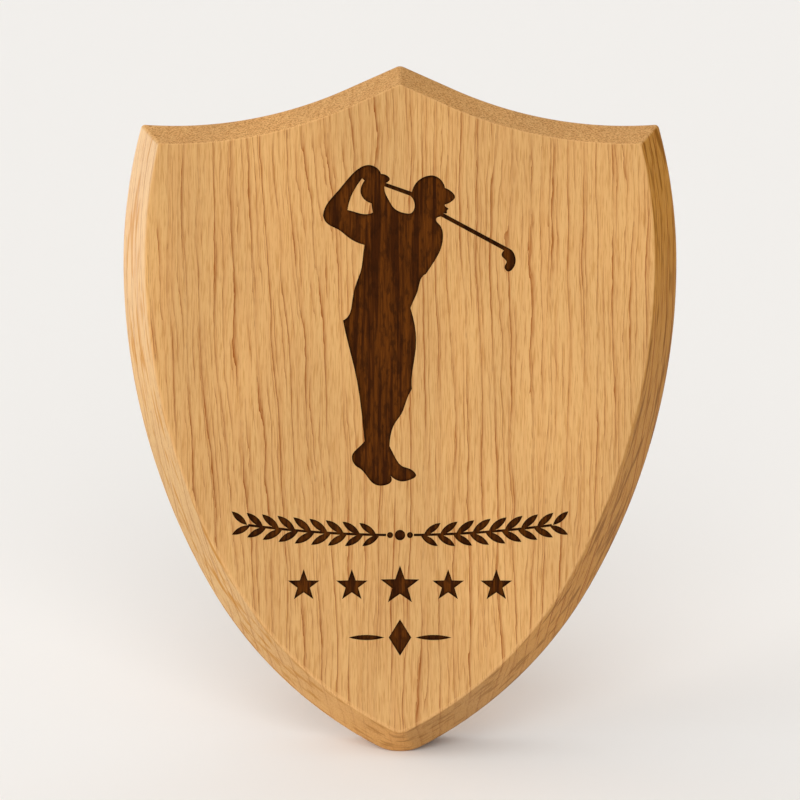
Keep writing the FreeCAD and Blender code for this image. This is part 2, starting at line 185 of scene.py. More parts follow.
def maths(tree, operation, a, b=0.0, clamp=False):
    made = shade(tree, "ShaderNodeMath", {"operation": operation, "use_clamp": clamp}, i0=a, i1=b)
    return made.outputs[0]


def product(tree, first, *others):
    for other in others:
        first = maths(tree, "MULTIPLY", first, other)
    return first


def total(tree, first, *others):
    for other in others:
        first = maths(tree, "ADD", first, other)
    return first


def sized_noise(tree, place, sizes, detail=2.0, roughness=0.6, shift=(0.0, 0.0, 0.0)):
    """Noise from about 0.2 to 0.8, whose patches have the given sizes along x, y and z."""
    scaled = shade(
        tree, "ShaderNodeMapping", None, Vector=place, Location=shift,
        Scale=tuple(1 / size for size in sizes),
    )
    noise = shade(
        tree, "ShaderNodeTexNoise", None, Vector=scaled.outputs[0], Scale=1.0, Detail=detail,
        Roughness=roughness,
    )
    return noise.outputs[0]


def stretched_noise(tree, place, across, along, detail=1.0, roughness=0.5, shift=0.0):
    """Noise drawn out along the grain."""
    sizes = (across, across, along)
    return sized_noise(tree, place, sizes, detail, roughness, (shift, shift * 1.7, shift * 0.6))


def spread(tree, value, low, high, to_low=0.0, to_high=1.0, smooth=True):
    """Maps low to high onto to_low to to_high, and holds the ends beyond them."""
    made = shade(
        tree, "ShaderNodeMapRange", {"interpolation_type": "SMOOTHSTEP" if smooth else "LINEAR"},
        Value=value, From_Min=low, From_Max=high, To_Min=to_low, To_Max=to_high,
    )
    return made.outputs[0]


def where(tree, mask, value):
    """One where the mask is off, and the given value where it is full."""
    return spread(tree, mask, 0.0, 1.0, 1.0, value)


def blended(tree, share, a, b, mode="MIX"):
    made = tree.nodes.new("ShaderNodeMix")
    made.data_type = "RGBA"
    made.blend_type = mode
    for index, value in ((0, share), (6, a), (7, b)):
        if isinstance(value, bpy.types.NodeSocket):
            tree.links.new(value, made.inputs[index])
        else:
            made.inputs[index].default_value = value
    return made.outputs[2]


def dimmed(tree, colour, amount):
    """The colour times a grey of the given amount."""
    grey = shade(tree, "ShaderNodeCombineXYZ", None, X=amount, Y=amount, Z=amount).outputs[0]
    return blended(tree, 1.0, colour, grey, "MULTIPLY")


def bumped(tree, surface, height, strength, distance):
    bump = shade(tree, "ShaderNodeBump", None, Height=height, Strength=strength, Distance=distance)
    tree.links.new(bump.outputs[0], surface.inputs["Normal"])


def new_group(name, inputs, outputs):
    group = bpy.data.node_groups.new(name, "ShaderNodeTree")
    for label, kind in inputs:
        group.interface.new_socket(label, in_out="INPUT", socket_type=kind)
    for label, kind in outputs:
        group.interface.new_socket(label, in_out="OUTPUT", socket_type=kind)
    given = group.nodes.new("NodeGroupInput")
    result = group.nodes.new("NodeGroupOutput")
    return group, given, result


def srgb(red, green, blue):
    """A colour as it looks on the screen, made linear."""
    def linear(value):
        value = value / 255
        return value / 12.92 if value <= 0.04045 else ((value + 0.055) / 1.055) ** 2.4
    return (linear(red), linear(green), linear(blue), 1.0)


# Oak


def make_oak_figure():
    """The grain of rift-sawn oak as a solid pattern: z runs along the grain, millimetres."""
    group, given, result = new_group(
        "oak_figure",
        [("Place", "NodeSocketVector")],
        [("Rings", "NodeSocketFloat"), ("Fibres", "NodeSocketFloat"), ("Streaks", "NodeSocketFloat"),
         ("Pores", "NodeSocketFloat"), ("Clouds", "NodeSocketFloat")],
    )
    place = given.outputs["Place"]
    x, y, z = shade(group, "ShaderNodeSeparateXYZ", None, Vector=place).outputs
    drift = product(group, stretched_noise(group, place, 42, 170, 1.0), 20.0)
    wander = product(group, stretched_noise(group, place, 8, 34, 1.5, 0.5, 7.0), 4.2)
    tremble = product(group, stretched_noise(group, place, 2.2, 9, 1.0, 0.5, 3.0), 0.9)
    ragged = product(group, stretched_noise(group, place, 0.5, 4.5, 1.0, 0.6, 9.0), 0.45)
    fanned = total(group, 1.3, product(group, y, 0.022))
    sloped = total(group, product(group, x, fanned), product(group, z, 0.03))
    across = total(group, sloped, drift, wander, tremble, ragged)

    late = maths(group, "SUBTRACT", 1.0, maths(group, "FRACT", product(group, across, 0.17)))
    wide = maths(group, "POWER", late, 12.0)
    between = maths(group, "SUBTRACT", 1.0, maths(group, "FRACT", product(group, across, 0.43)))
    narrow = maths(group, "POWER", between, 7.0)
    fade = spread(group, stretched_noise(group, place, 5.5, 50, 2.0, 0.6, 21.0), 0.38, 0.58, 0.2, 1.0)
    faint = spread(group, stretched_noise(group, place, 3.0, 30, 2.0, 0.6, 77.0), 0.40, 0.62, 0.0, 0.75)
    rings = maths(group, "MAXIMUM", product(group, wide, fade), product(group, narrow, faint))

    fibres = stretched_noise(group, place, 0.36, 8, 2.0, 0.7, 11.0)
    streaks = stretched_noise(group, place, 1.5, 38, 2.0, 0.55, 31.0)
    dashes = stretched_noise(group, place, 0.2, 4.0, 0.0, 0.5, 5.0)
    band = spread(group, wide, 0.02, 0.5, 0.25, 1.0)
    pores = product(group, spread(group, dashes, 0.60, 0.70), band)
    clouds = stretched_noise(group, place, 30, 90, 1.0, 0.5, 44.0)
    for label, value in (
        ("Rings", rings), ("Fibres", fibres), ("Streaks", streaks), ("Pores", pores), ("Clouds", clouds),
    ):
        group.links.new(value, result.inputs[label])
    return group


oak_figure = make_oak_figure()


def grain_place(tree, tilt):
    """The place in millimetres and the way a face looks, both turned so that z runs up the piece."""
    coordinates = tree.nodes.new("ShaderNodeTexCoord")
    turned = shade(
        tree, "ShaderNodeMapping", None, Vector=coordinates.outputs["Object"],
        Rotation=(tilt, 0, 0), Scale=(1000, 1000, 1000),
    )
    facing = shade(
        tree, "ShaderNodeMapping", {"vector_type": "VECTOR"}, Vector=coordinates.outputs["Normal"],
        Rotation=(tilt, 0, 0),
    )
    return turned.outputs[0], facing.outputs[0]


def new_material(name):
    material = bpy.data.materials.new(name)
    material.use_nodes = True
    tree = material.node_tree
    return material, tree, tree.nodes["Principled BSDF"]


def figured(tree, place, shift):
    """The oak's figure at a place of its own in the tree trunk, and that place."""
    moved = shade(tree, "ShaderNodeVectorMath", {"operation": "ADD"}, i0=place, i1=shift).outputs[0]
    figure = shade(tree, "ShaderNodeGroup", {"node_tree": oak_figure}, Place=moved)
    return figure.outputs, moved


def make_oak(name, tilt, shift, tone, contrast=1.0):
    """Lacquered oak, streaked along its bevels and speckled with open pores on its end grain."""
    material, tree, surface = new_material(name)
    place, facing = grain_place(tree, tilt)
    figure, moved = figured(tree, place, shift)

    def toned(red, green, blue):
        return tuple(part * tone for part in srgb(red, green, blue)[:3]) + (1,)

    light = toned(231, 180, 114)
    mid = toned(226, 172, 107)
    dark = toned(196, 137, 65)
    line = toned(160, 84, 4)
    pore = toned(128, 68, 8)
    speck = toned(150, 92, 14)
    # The pale colour paints a sheen on the left bevel; the deep one also paints the shade on the right and
    # below
    pale = toned(222, 184, 128)
    deep = toned(200, 132, 22)

    # Which way the face looks
    looks = shade(tree, "ShaderNodeSeparateXYZ", None, Vector=facing)
    sideways = looks.outputs["X"]
    upright = looks.outputs["Z"]
    leftwards = spread(tree, sideways, -0.2, -0.55)
    rightwards = spread(tree, sideways, 0.2, 0.55)
    downwards = spread(tree, upright, -0.3, -0.6)
    low_right = product(tree, downwards, spread(tree, sideways, 0.05, 0.35))
    end_grain = maths(
        tree, "MAXIMUM", spread(tree, upright, 0.38, 0.62), spread(tree, upright, -0.72, -0.95),
    )

    # Colour of the clear wood, paler on the left from a painted sheen, and deeper on the right and below
    # from painted shade
    colour = blended(tree, spread(tree, figure["Streaks"], 0.33, 0.62), mid, light)
    colour = blended(tree, spread(tree, figure["Fibres"], 0.54, 0.30, 0.0, 0.7), colour, dark)
    colour = blended(tree, product(tree, leftwards, 0.5), colour, pale)
    # Painted shade: the right bevel and the lower bevels blend towards the deep colour
    painted_shade_share = maths(
        tree, "MAXIMUM", product(tree, rightwards, 0.66), product(tree, downwards, 0.45),
    )
    colour = blended(tree, painted_shade_share, colour, deep)

    # Ring lines, faint on end grain and on the lower bevels, weaker on the left where the painted sheen
    # washes them out, and stronger on the right
    aside = spread(tree, sideways, -0.6, 0.6, 0.8 * contrast, 1.6 * contrast, False)
    lines = product(tree, figure["Rings"], where(tree, end_grain, 0.2), where(tree, downwards, 0.3))
    lines = maths(tree, "MULTIPLY", lines, aside, True)
    colour = blended(tree, lines, colour, line)

    # Long flecks where a bevel cuts through the layers
    flecks = spread(tree, sized_noise(tree, moved, (9, 0.75, 22)), 0.50, 0.66, 0.0, 0.9)
    dark_side = maths(tree, "MAXIMUM", rightwards, product(tree, downwards, 0.7))
    colour = blended(tree, product(tree, flecks, dark_side), colour, speck)
    colour = blended(tree, product(tree, flecks, leftwards), colour, deep)

    # Pores, seen lengthwise along the grain and as specks on its ends
    long_grain = maths(tree, "SUBTRACT", 1.0, end_grain)
    lengthwise = product(tree, figure["Pores"], 0.34 * contrast, long_grain)
    colour = blended(tree, lengthwise, colour, pore)
    dots = sized_noise(tree, moved, (1 / 1.3, 1 / 2.6, 1 / 2.6))
    specks = product(tree, spread(tree, dots, 0.46, 0.64, 0.18, 0.78), end_grain)
    colour = blended(tree, specks, colour, speck)

    # Clouds, and a tone for each side: end grain a little lighter, and painted shade darkening the lower,
    # left and right bevels, most of all low on the right
    cloud_tone_and_painted_shade = product(
        tree, spread(tree, figure["Clouds"], 0.3, 0.7, 0.93, 1.05), where(tree, end_grain, 1.06),
        where(tree, downwards, 0.95), where(tree, leftwards, 0.92), where(tree, rightwards, 0.93),
        where(tree, low_right, 0.8),
    )
    tree.links.new(dimmed(tree, colour, cloud_tone_and_painted_shade), surface.inputs["Base Color"])

    rough = total(
        tree, 0.36, product(tree, figure["Rings"], 0.12), product(tree, figure["Pores"], 0.2),
        product(tree, end_grain, 0.35),
    )
    tree.links.new(rough, surface.inputs["Roughness"])
    height = maths(tree, "SUBTRACT", product(tree, figure["Fibres"], 0.5), figure["Pores"])
    height = maths(tree, "SUBTRACT", height, product(tree, figure["Rings"], 0.12))
    height = maths(tree, "SUBTRACT", height, specks)
    bumped(tree, surface, height, 0.4, 0.00007)
    surface.inputs["Specular IOR Level"].default_value = 0.5
    return material


def make_burnt(name, tilt, shift):
    """Oak that a laser has burnt: the grain still shows, and the rim is darkest, partly from deeper burning
    and partly from painted shade in the recess.
    """
    material, tree, surface = new_material(name)
    place, _ = grain_place(tree, tilt)
    figure, moved = figured(tree, place, shift)
    brown = blended(tree, spread(tree, figure["Streaks"], 0.38, 0.58), srgb(61, 26, 1), srgb(98, 50, 6))
    mottle = stretched_noise(tree, moved, 1.6, 4.5, 3.0, 0.6, 13.0)
    brown = blended(tree, spread(tree, mottle, 0.52, 0.36, 0.0, 0.6), brown, srgb(42, 17, 0))
    brown = blended(tree, spread(tree, figure["Fibres"], 0.60, 0.32, 0.0, 0.6), brown, srgb(44, 17, 0))
    brown = blended(tree, product(tree, figure["Rings"], 0.5), brown, srgb(38, 14, 0))
    # Painted shade: an occlusion node darkens the engraving towards its walls
    painted_occlusion = shade(tree, "ShaderNodeAmbientOcclusion", {"samples": 8}, Distance=0.0013)
    rim = spread(tree, painted_occlusion.outputs["AO"], 0.55, 0.98, 0.35, 1.0)
    tree.links.new(dimmed(tree, brown, rim), surface.inputs["Base Color"])
    rough = total(tree, 0.6, product(tree, figure["Pores"], 0.2))
    tree.links.new(rough, surface.inputs["Roughness"])
    height = maths(tree, "SUBTRACT", figure["Fibres"], figure["Pores"])
    bumped(tree, surface, height, 0.5, 0.0001)
    surface.inputs["Specular IOR Level"].default_value = 0.1
    return material


# Brass


def make_brass(name, base, brushed, rough):
    """Lacquered brass, brushed upwards or left as it was turned, with a little tarnish."""
    material, tree, surface = new_material(name)
    coordinates = tree.nodes.new("ShaderNodeTexCoord")
    fine = 9000
    scale = (fine, fine, 250 if brushed else fine)
    lines = shade(tree, "ShaderNodeMapping", None, Vector=coordinates.outputs["Object"], Scale=scale)
    brushing = shade(
        tree, "ShaderNodeTexNoise", None, Vector=lines.outputs[0], Scale=1.0, Detail=2.0,
    ).outputs[0]
    tarnish = shade(
        tree, "ShaderNodeTexNoise", None, Vector=coordinates.outputs["Object"], Scale=160.0, Detail=4.0,
        Roughness=0.6,
    ).outputs[0]
    dull = tuple(part * 0.62 for part in base[:3]) + (1,)
    colour = blended(tree, spread(tree, tarnish, 0.42, 0.72, 0.0, 0.55), base, dull)
    colour = blended(tree, spread(tree, brushing, 0.35, 0.65, 0.0, 0.16), colour, dull)
    tree.links.new(colour, surface.inputs["Base Color"])
    surface.inputs["Metallic"].default_value = 1.0
    roughness = maths(tree, "ADD", rough, spread(tree, tarnish, 0.35, 0.7, -0.04, 0.14))
    tree.links.new(roughness, surface.inputs["Roughness"])
    bumped(tree, surface, brushing, 0.12, 0.00003)
    return material


BOARD_SHIFT = (0.0, 0.0, 0.0)
STRUT_SHIFT = (61.0, 23.0, 190.0)
board_oak = make_oak("board_oak", LEAN, BOARD_SHIFT, 0.882)
# Paler oak along the face's rounded arris: a painted highlight, with the lacquer there also rubbed thin
worn_and_highlit_arris_oak = make_oak("worn_and_highlit_arris_oak", LEAN, BOARD_SHIFT, 0.91, 0.5)
burnt_oak = make_burnt("burnt_oak", LEAN, BOARD_SHIFT)
strut_oak = make_oak("strut_oak", LEAN - OPENING, STRUT_SHIFT, 0.83)
sheet_brass = make_brass("sheet_brass", (0.72, 0.50, 0.20, 1), True, 0.30)
rivet_brass = make_brass("rivet_brass", (0.74, 0.53, 0.23, 1), False, 0.22)
screw_brass = make_brass("screw_brass", (0.60, 0.40, 0.15, 1), False, 0.34)


# Ways of shaping a piece


def only(piece):
    """Leaves one object selected and active, in object mode."""
    if bpy.context.object and bpy.context.object.mode != "OBJECT":
        bpy.ops.object.mode_set(mode="OBJECT")
    bpy.ops.object.select_all(action="DESELECT")
    piece.select_set(True)
    bpy.context.view_layer.objects.active = piece


def edit(piece):
    only(piece)
    bpy.ops.object.mode_set(mode="EDIT")


def leave():
    bpy.ops.object.mode_set(mode="OBJECT")


def pick(kind, test):
    """Selects the open mesh's verts, edges or faces that pass the test, and nothing else."""
    bpy.ops.mesh.select_mode(type={"verts": "VERT", "edges": "EDGE", "faces": "FACE"}[kind])
    bpy.ops.mesh.select_all(action="DESELECT")
    data = bpy.context.object.data
    open_mesh = bmesh.from_edit_mesh(data)
    for item in getattr(open_mesh, kind):
        if test(item):
            item.select_set(True)
    open_mesh.select_flush_mode()
    bmesh.update_edit_mesh(data)


def apply_modifier(piece, kind, **settings):
    only(piece)
    modifier = piece.modifiers.new(kind.lower(), kind)
    for name, value in settings.items():
        setattr(modifier, name, value)
    bpy.ops.object.modifier_apply(modifier=modifier.name)


def settle(piece, matrix):
    """Moves the shape itself, so that the object stays at the origin, unturned and unscaled."""
    only(piece)
    bpy.ops.object.transform_apply(location=True, rotation=True, scale=True)
    piece.data.transform(matrix)
    piece.data.update()


def remove(*pieces):
    for piece in pieces:
        bpy.data.objects.remove(piece)


def cut_away(piece, cutter):
    """Takes the cutter out of the piece. The faces it leaves have the cutter's material."""
    apply_modifier(piece, "BOOLEAN", operation="DIFFERENCE", solver="EXACT", object=cutter,
                   material_mode="TRANSFER")
    remove(cutter)


def smooth(piece, degrees=30):
    only(piece)
    bpy.ops.object.shade_smooth_by_angle(angle=math.radians(degrees))


def joined(pieces):
    only(pieces[0])
    for piece in pieces:
        piece.select_set(True)
    bpy.ops.object.join()
    return bpy.context.object


def copied_solid(node, name):
    """A copy of a solid's mesh, merged, with its flat faces whole again."""
    piece = bpy.data.objects.new(name, frame["nodes"][node].data.copy())
    bpy.context.scene.collection.objects.link(piece)
    piece.data.materials.clear()
    edit(piece)
    bpy.ops.mesh.select_all(action="SELECT")
    bpy.ops.mesh.remove_doubles(threshold=0.000002)
    bpy.ops.mesh.dissolve_limited(angle_limit=math.radians(0.3))
    leave()
    return piece


def dress(piece, body, slot, *nodes):
    """Says what the finished piece rides on, and what it stands for."""
    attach(piece, body)
    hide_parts(*nodes)


# Board


def circles_meet(centre_a, radius_a, centre_b, radius_b):
    """Where two circles cross, on the right of the way from a to b."""
    way = centre_b - centre_a
    apart = way.length
    along = (apart ** 2 + radius_a ** 2 - radius_b ** 2) / (2 * apart)
    away = math.sqrt(radius_a ** 2 - along ** 2)
    way.normalize()
    return centre_a + way * along + Vector((way.y, -way.x)) * away


def half_outline(side_inset, top_inset, tip_height, tip_radius, corner_round, top_round):
    """The right half of the outline: each arc's centre, end and steps. A straight run has no centre."""
    flank_centre = Vector((HALF_WIDTH - FLANK, WIDEST))
    upper_centre = Vector((HALF_WIDTH - UPPER_SIDE, WIDEST))
    upper = UPPER_SIDE - side_inset
    off_run = Vector((math.sin(PEAK_SLOPE), math.cos(PEAK_SLOPE)))
    run_end_across = CREST_DIP - CREST * off_run.x
    run_top = BOARD_HEIGHT - PEAK_ROUND + PEAK_ROUND / off_run.y
    run_end_height = run_top - run_end_across * math.tan(PEAK_SLOPE)
    crest_centre = Vector((run_end_across, run_end_height)) + off_run * CREST
    crest = CREST + top_inset
    slope = math.asin((WIDEST - FLANK_END) / FLANK)
    flank_way = Vector((math.cos(slope), -math.sin(slope)))
    flank_end = flank_centre + flank_way * (FLANK - side_inset)
    tip_centre = Vector((0, tip_height + tip_radius))
    off_tip = flank_end - tip_centre
    lower = (off_tip.length ** 2 - tip_radius ** 2) / (2 * (off_tip.dot(flank_way) - tip_radius))
    lower_centre = flank_end - flank_way * lower
    corner_centre = circles_meet(upper_centre, upper - corner_round, crest_centre, crest + corner_round)
    run_end = crest_centre - off_run * crest
    peak_centre = Vector((0, run_end.y + run_end.x * math.tan(PEAK_SLOPE) - top_round / off_run.y))
    return [
        (tip_centre, lower_centre + (tip_centre - lower_centre).normalized() * lower, 6),
        (lower_centre, flank_end, 18),
        (flank_centre, Vector((HALF_WIDTH - side_inset, WIDEST)), 34),
        (upper_centre, upper_centre + (corner_centre - upper_centre).normalized() * upper, 16),
        (corner_centre, crest_centre + (corner_centre - crest_centre).normalized() * crest, 6),
        (crest_centre, run_end, 30),
        (None, peak_centre + off_run * top_round, 1),
        (peak_centre, peak_centre + Vector((0, top_round)), 4),
    ]


def start_at(x, y, z=0):
    """A single new point, picked for extruding or spinning."""
    bpy.ops.mesh.select_mode(type="VERT")
    bpy.ops.mesh.select_all(action="DESELECT")
    bpy.ops.mesh.primitive_plane_add(size=1, location=(x, y, z))
    bpy.ops.mesh.merge(type="CENTER")


def draw_outline(z, *shape):
    """Spins the right half of the outline from its lowest point, arc by arc, and mirrors it."""
    point = Vector((0, shape[2]))
    start_at(point.x, point.y, z)
    for centre, end, steps in half_outline(*shape):
        if centre is None:
            way = end - point
            bpy.ops.mesh.extrude_vertices_move(TRANSFORM_OT_translate={"value": (way.x, way.y, 0)})
        else:
            turn = (end - centre).angle_signed(point - centre)
            bpy.ops.mesh.spin(steps=steps, angle=turn, center=(centre.x, centre.y, z), axis=(0, 0, -1))
        point = end
    bpy.ops.mesh.select_linked()
    bpy.ops.mesh.duplicate()
    bpy.ops.transform.resize(value=(-1, 1, 1), center_override=(0, 0, 0))


def at_level(z):
    return lambda item: all(abs(v.co.z - z) < 0.001 for v in getattr(item, "verts", [item]))


def eased(z, width, rounding):
    """How far in the bevel is at a depth, with its arris against the face rounded."""
    slope = width / BEVEL_DEPTH
    deep = rounding / math.hypot(slope, 1)
    if z < -deep:
        return width + slope * z
    t = 1 - math.sqrt(-z / deep)
    return (1 - t) ** 2 * (width - slope * deep) + 2 * t * (1 - t) * width + t ** 2 * (width + rounding)


def board_levels():
    """Depth, inset of the sides and inset of the top, from the back's rim to the face."""
    levels = []
    for step in range(5):
        turn = math.radians(22.5 * step)
        inset = BACK_RIM_ROUND * (1 - math.sin(turn))
        levels.append((-THICKNESS + BACK_RIM_ROUND * (1 - math.cos(turn)), inset, inset))
    for step in range(5):
        t = step / 4
        above = SHOULDER_EASE * 0.6 * t ** 2
        z = -BEVEL_DEPTH - SHOULDER_EASE * (1 - t) ** 2 + above
        levels.append((z, above * BEVEL_SIDE / BEVEL_DEPTH, above * BEVEL_TOP / BEVEL_DEPTH))
    for step in range(6):
        z = -FACE_EASE_DEPTH * (1 - step / 5) ** 2
        levels.append((z, eased(z, BEVEL_SIDE, FACE_SIDE_EASE), eased(z, BEVEL_TOP, FACE_TOP_EASE)))
    return levels


def make_board_body():
    """Outlines at many depths, bridged one to the next, with the tip cut level by the table."""
    bpy.ops.object.select_all(action="DESELECT")
    bpy.ops.mesh.primitive_plane_add(size=1)
    board = bpy.context.object
    board.name = "oak_board"
    edit(board)
    bpy.ops.mesh.delete(type="VERT")
    under = TIP_ROUND - math.sqrt(TIP_ROUND ** 2 - (TIP_FLAT / 2) ** 2)
    levels = board_levels()
    for z, side, top in levels:
        share = side / BEVEL_SIDE
        draw_outline(
            z, side, top, -under + (FACE_TIP_HEIGHT + under) * share,
            TIP_ROUND + (FACE_TIP_ROUND - TIP_ROUND) * share, SHOULDER_ROUND,
            PEAK_ROUND + (FACE_PEAK_ROUND - PEAK_ROUND) * share,
        )
    bpy.ops.mesh.select_all(action="SELECT")
    bpy.ops.mesh.remove_doubles(threshold=0.005)
    for low, high in zip(levels, levels[1:]):
        pick("edges", lambda e: at_level(low[0])(e) or at_level(high[0])(e))
        bpy.ops.mesh.bridge_edge_loops()
    for z in (-THICKNESS, 0):
        pick("edges", at_level(z))
        bpy.ops.mesh.edge_face_add()
    board.data.materials.append(board_oak)
    board.data.materials.append(worn_and_highlit_arris_oak)
    # The faces of the rounded arris along the face take the paler arris oak, a painted highlight
    pick("faces", lambda f: -0.3 < f.calc_center_median().z < -0.001)
    board.active_material_index = 1
    bpy.ops.object.material_slot_assign()
    bpy.ops.mesh.select_all(action="SELECT")
    bpy.ops.mesh.normals_make_consistent(inside=False)
    table_normal = Vector((0, math.cos(LEAN), math.sin(LEAN)))
    bpy.ops.mesh.bisect(
        plane_co=(0, 0, -BEVEL_DEPTH), plane_no=table_normal, use_fill=True, clear_inner=True,
        threshold=0.00001,
    )
    leave()
    return board


# Bodies that cut the engraving and the hanger's place into the board


CUTTER_HEIGHT = 3.0


def make_figure_cutter():
    """The golfer as a body to cut with, raised from the floor of the solid model's engraving."""
    cutter = copied_solid("shield_board", "golfer_cutter")
    cutter.data.transform(stand.inverted())
    edit(cutter)
    pick("faces", lambda f: not (f.normal.z > 0.99 and abs(f.calc_center_median().z + GOLFER_DEPTH) < 0.05))
    bpy.ops.mesh.delete(type="FACE")
    leave()
    apply_modifier(cutter, "SOLIDIFY", thickness=CUTTER_HEIGHT, offset=1.0)
    cutter.data.materials.append(burnt_oak)
    return cutter


def add_flat(name):
    """A new flat piece, open for editing and still empty."""
    bpy.ops.object.select_all(action="DESELECT")
    bpy.ops.mesh.primitive_plane_add(size=1)
    piece = bpy.context.object
    piece.name = name
    edit(piece)
    bpy.ops.mesh.delete(type="VERT")
    return piece


def close_shape():
    bpy.ops.mesh.select_linked()
    bpy.ops.mesh.remove_doubles(threshold=0.001)
    bpy.ops.mesh.edge_face_add()


def spin_leaf(x, y, length, width):
    """A leaf pointed at both ends, from two arcs."""
    half = length / 2
    rise = width / 2
    radius = (half ** 2 + rise ** 2) / (2 * rise)
    turn = 2 * math.asin(half / radius)
    start_at(x, y)
    for side in (1, -1):
        centre = (x + half, y + side * (radius - rise), 0)
        bpy.ops.mesh.spin(steps=8, angle=turn, center=centre, axis=(0, 0, -1))
    close_shape()


def spin_slot(radius, top, bottom):
    """A shape with straight sides and round ends."""
    start_at(radius, bottom)
    for end, step in ((top, top - bottom), (bottom, bottom - top)):
        bpy.ops.mesh.extrude_vertices_move(TRANSFORM_OT_translate={"value": (0, step, 0)})
        bpy.ops.mesh.spin(steps=24, angle=math.pi, center=(0, end, 0), axis=(0, 0, -1))
    close_shape()


def thickened(piece, floor, material, height=CUTTER_HEIGHT):
    """Turns a flat shape into a body that stands on the given floor."""
    edit(piece)
    pick("faces", lambda f: f.normal.z < 0)
    bpy.ops.mesh.flip_normals()
    leave()
    settle(piece, Matrix.Translation((0, 0, floor)))
    apply_modifier(piece, "SOLIDIFY", thickness=height, offset=1.0)
    piece.data.materials.append(material)
    return piece


def copied(piece, matrix):
    only(piece)
    bpy.ops.object.duplicate()
    again = bpy.context.object
    again.data.transform(matrix)
    return again


def add_ring_shape(vertices, radius, x, y):
    """A flat shape with its corners on a circle, selected alone."""
    bpy.ops.mesh.select_all(action="DESELECT")
    bpy.ops.mesh.primitive_circle_add(
        vertices=vertices, radius=radius, fill_type="NGON", location=(x, y, 0), rotation=(0, 0, 0),
    )


def add_star(x, y, size):
    """A five-pointed star, from a ten-sided shape with every other corner drawn in."""
    add_ring_shape(10, size, x, y)
    middle = Vector((x, y, 0))

    def is_inner(corner):
        off = corner.co - middle
        return off.length < size + 0.1 and round(math.degrees(math.atan2(off.x, off.y)) / 36) % 2

    pick("verts", is_inner)
    bpy.ops.transform.resize(value=(STAR_HOLLOW, STAR_HOLLOW, 1), center_override=middle)


def make_stems_cutter():
    """The laurel's two stems and berries, the stars, and the lozenge with its rules."""
    cutter = add_flat("stems_cutter")
    centre = Vector((0, LAUREL_HEIGHT + STEM_RADIUS, 0))
    for side in (1, -1):
        first = Matrix.Rotation(side * STEM_START / STEM_RADIUS, 3, "Z") @ Vector((0, -STEM_RADIUS, 0))
        start_at(first.x, centre.y + first.y - STEM_WIDTH / 2)
        bpy.ops.mesh.extrude_vertices_move(TRANSFORM_OT_translate={"value": (0, STEM_WIDTH, 0)})
        bpy.ops.mesh.select_linked()
        turn = side * STEM_LENGTH / STEM_RADIUS
        bpy.ops.mesh.spin(steps=10, angle=turn, center=centre, axis=(0, 0, -1))
    for x, radius in BERRIES:
        add_ring_shape(24, radius, x, LAUREL_HEIGHT)
    for number in range(-2, 3):
        add_star(number * STAR_PITCH, STARS_HEIGHT, STAR_SIZE if number else MIDDLE_STAR_SIZE)
    add_ring_shape(4, LOZENGE_SIZE, 0, LOZENGE_HEIGHT)
    bpy.ops.transform.resize(value=(LOZENGE_SLIMNESS, 1, 1), center_override=(0, LOZENGE_HEIGHT, 0))
    for start in (RULE_START, -RULE_START - RULE_LENGTH):
        spin_leaf(start, LOZENGE_HEIGHT, RULE_LENGTH, RULE_WIDTH)
    leave()
    return thickened(cutter, -ORNAMENT_DEPTH, burnt_oak)


def make_leaves_cutter(lean, start):
    """The laurel's leaves above or below the stems, one leaf modelled and copied along both."""
    leaf = add_flat("leaf")
    spin_leaf(0, 0, 1, LEAF_SLIMNESS)
    leave()
    leaves = []
    for side in (1, -1):
        for number in range(LEAVES_ON_A_SIDE):
            turn = (start + LEAF_PITCH * number) / STEM_RADIUS
            rise = STEM_RADIUS * (1 - math.cos(turn))
            spot = Matrix.Translation((side * STEM_RADIUS * math.sin(turn), LAUREL_HEIGHT + rise, 0))
            turned = Matrix.Rotation(turn + math.radians(lean), 4, "Z")
            length = LONGEST_LEAF - 0.06 * (number - LEAVES_ON_A_SIDE // 2) ** 2
            place = spot @ Matrix.Scale(side, 4, (1, 0, 0)) @ turned @ Matrix.Scale(length, 4)
            leaves.append(copied(leaf, place))
    remove(leaf)
    return thickened(joined(leaves), -LEAF_DEPTH, burnt_oak)


def make_slot_cutter(radius, above, below, depth):
    """A round-ended slot about the hanger's height, cut into the back to the given depth."""
    cutter = add_flat("slot_cutter")
    spin_slot(radius, HANGER_HEIGHT + above, HANGER_HEIGHT - below)
    leave()
    return thickened(cutter, -THICKNESS - CUTTER_HEIGHT, board_oak, depth + CUTTER_HEIGHT)


def make_board():
    """The board with its arrises eased, its engraving, and the hanger's rebate and hollow."""
    board = make_board_body()
    cut_away(board, make_figure_cutter())
    cut_away(board, make_stems_cutter())
    cut_away(board, make_leaves_cutter(LEAF_LEAN, UPPER_LEAF_START))
    cut_away(board, make_leaves_cutter(-LEAF_LEAN, LOWER_LEAF_START))
    cut_away(board, make_slot_cutter(HANGER_HALF_WIDTH, HANGER_HALF_RUN, HANGER_HALF_RUN, SHEET))
    cut_away(board, make_slot_cutter(HOLLOW_HALF_WIDTH, HOLLOW_ABOVE, HOLLOW_BELOW, HOLLOW_DEPTH))
    smooth(board, 30)
    apply_modifier(board, "WEIGHTED_NORMAL", keep_sharp=True)
    settle(board, stand)
    return board


board = make_board()
dress(board, "shield", "oak", "shield_board")


# Strut and brass


def make_from_solid(node, name, rounding, material):
    """A solid's copy with its edges eased by a bevel."""
    piece = copied_solid(node, name)
    smooth(piece, 30)
    apply_modifier(piece, "BEVEL", limit_method="ANGLE", angle_limit=math.radians(32), width=rounding,
                   segments=2, harden_normals=True)
    apply_modifier(piece, "WEIGHTED_NORMAL", keep_sharp=True)
    piece.data.materials.append(material)
    return piece


